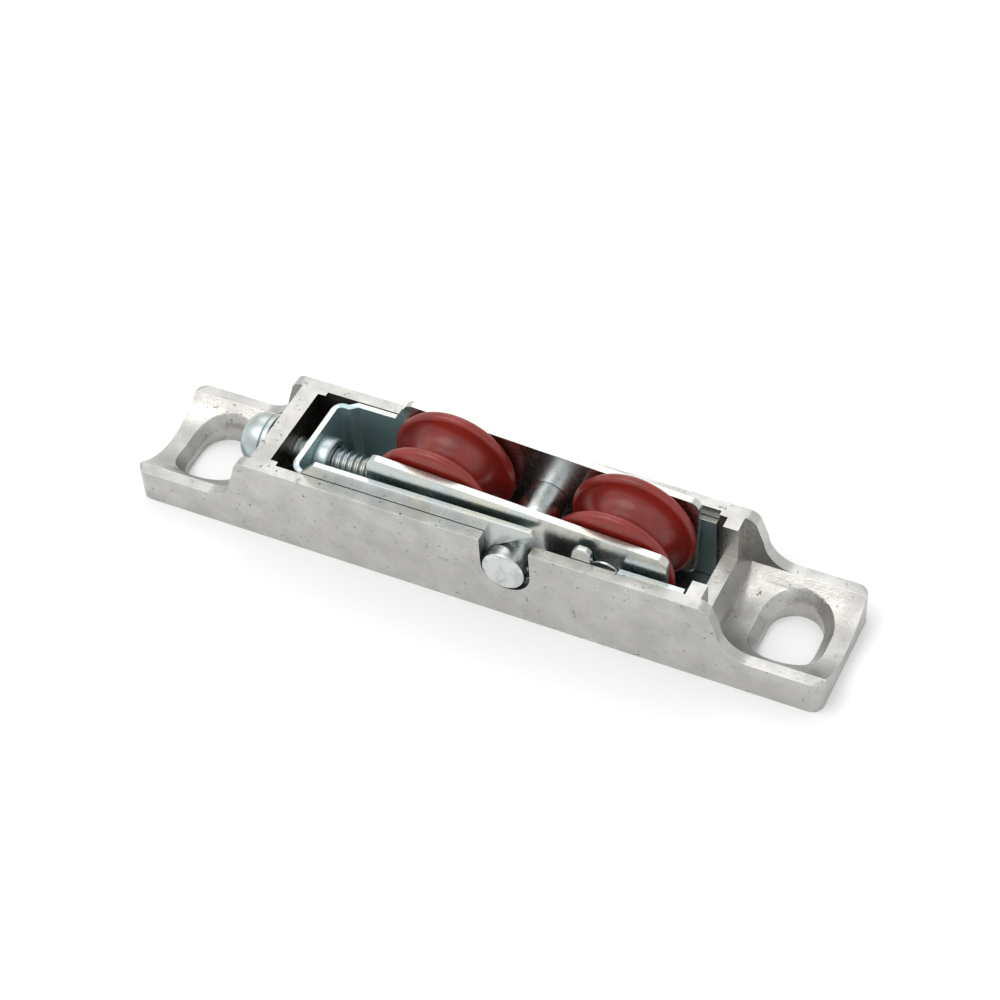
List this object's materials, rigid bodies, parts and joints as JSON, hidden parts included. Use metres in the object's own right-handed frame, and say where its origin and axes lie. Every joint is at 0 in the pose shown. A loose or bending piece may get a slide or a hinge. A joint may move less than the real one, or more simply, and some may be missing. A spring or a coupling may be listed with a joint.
{
  "type": "sliding door roller",
  "caption": "Tandem roller for a sliding door: cast housing with slotted ears, and grooved wheels on a rocking bogie that an end screw raises.",
  "frame": {"origin": "on the flat mounting face under the housing, at the middle of its length and width", "axes": "+X along the housing from the adjusting screw's end to the plain end, +Y across it along the pivot pin, +Z away from the mounting face, the way the wheels stand out"},
  "size_m": [0.12, 0.0226, 0.0242],
  "materials": {
    "cast_zinc": "satin",
    "plated_sheet": "satin",
    "plated_steel": "polished",
    "bearing_steel": "polished",
    "cage_sheet": "satin",
    "moulded_wheel": "gloss"
  },
  "bodies": {
    "housing": {"housing": "cast_zinc"},
    "screw": {"adjusting_screw": "plated_steel", "screw_washer": "plated_steel"},
    "slider": {"wedge_slider": "plated_sheet", "slider_nut": "plated_steel"},
    "pin": {"pivot_pin": "plated_steel"},
    "bogie": {"bogie_plate_front": "plated_sheet", "bogie_plate_rear": "plated_sheet", "axle_left": "plated_steel", "bearing_inner_ring_left": "bearing_steel", "axle_right": "plated_steel", "bearing_inner_ring_right": "bearing_steel", "spacer_left_front": "plated_steel", "spacer_left_rear": "plated_steel", "spacer_right_front": "plated_steel", "spacer_right_rear": "plated_steel"},
    "wheel_left": {"wheel_tyre_left": "moulded_wheel", "bearing_outer_ring_left": "bearing_steel", "bearing_shields_left": "plated_sheet"},
    "wheel_right": {"wheel_tyre_right": "moulded_wheel", "bearing_outer_ring_right": "bearing_steel", "bearing_shields_right": "plated_sheet"},
    "cage_left": {"bearing_cage_left": "cage_sheet", "bearing_balls_left": "bearing_steel"},
    "cage_right": {"bearing_cage_right": "cage_sheet", "bearing_balls_right": "bearing_steel"}
  },
  "joints": [
    {"name": "slider_travel", "type": "slide", "parent": "housing", "child": "slider", "axis": [-1, 0, 0], "range_m": [0, 0.0024]},
    {"name": "screw_turn", "type": "hinge", "parent": "housing", "child": "screw", "pos_m": [0, 0, 0.0102], "axis": [1, 0, 0], "range_deg": [0, 785.5]},
    {"name": "pin_lift", "type": "slide", "parent": "housing", "child": "pin", "axis": [0, 0, 1], "range_m": [0, 0.00162]},
    {"name": "bogie_rock", "type": "hinge", "parent": "pin", "child": "bogie", "pos_m": [0.0074, 0, 0.0102], "axis": [0, 1, 0], "range_deg": [-6.6, 0]},
    {"name": "wheel_left_spin", "type": "hinge", "parent": "bogie", "child": "wheel_left", "pos_m": [-0.00792, 0, 0.01374], "axis": [0, 1, 0], "continuous": true},
    {"name": "wheel_right_spin", "type": "hinge", "parent": "bogie", "child": "wheel_right", "pos_m": [0.02303, 0, 0.01195], "axis": [0, 1, 0], "continuous": true},
    {"name": "cage_left_spin", "type": "hinge", "parent": "bogie", "child": "cage_left", "pos_m": [-0.00792, 0, 0.01374], "axis": [0, 1, 0], "continuous": true},
    {"name": "cage_right_spin", "type": "hinge", "parent": "bogie", "child": "cage_right", "pos_m": [0.02303, 0, 0.01195], "axis": [0, 1, 0], "continuous": true}
  ],
  "couplings": [
    {"joint": "screw_turn", "follows": "slider_travel", "rad_per_m": 5712},
    {"joint": "pin_lift", "follows": "slider_travel", "ratio": 0.67451},
    {"joint": "cage_left_spin", "follows": "wheel_left_spin", "ratio": 0.6},
    {"joint": "cage_right_spin", "follows": "wheel_right_spin", "ratio": 0.6}
  ]
}
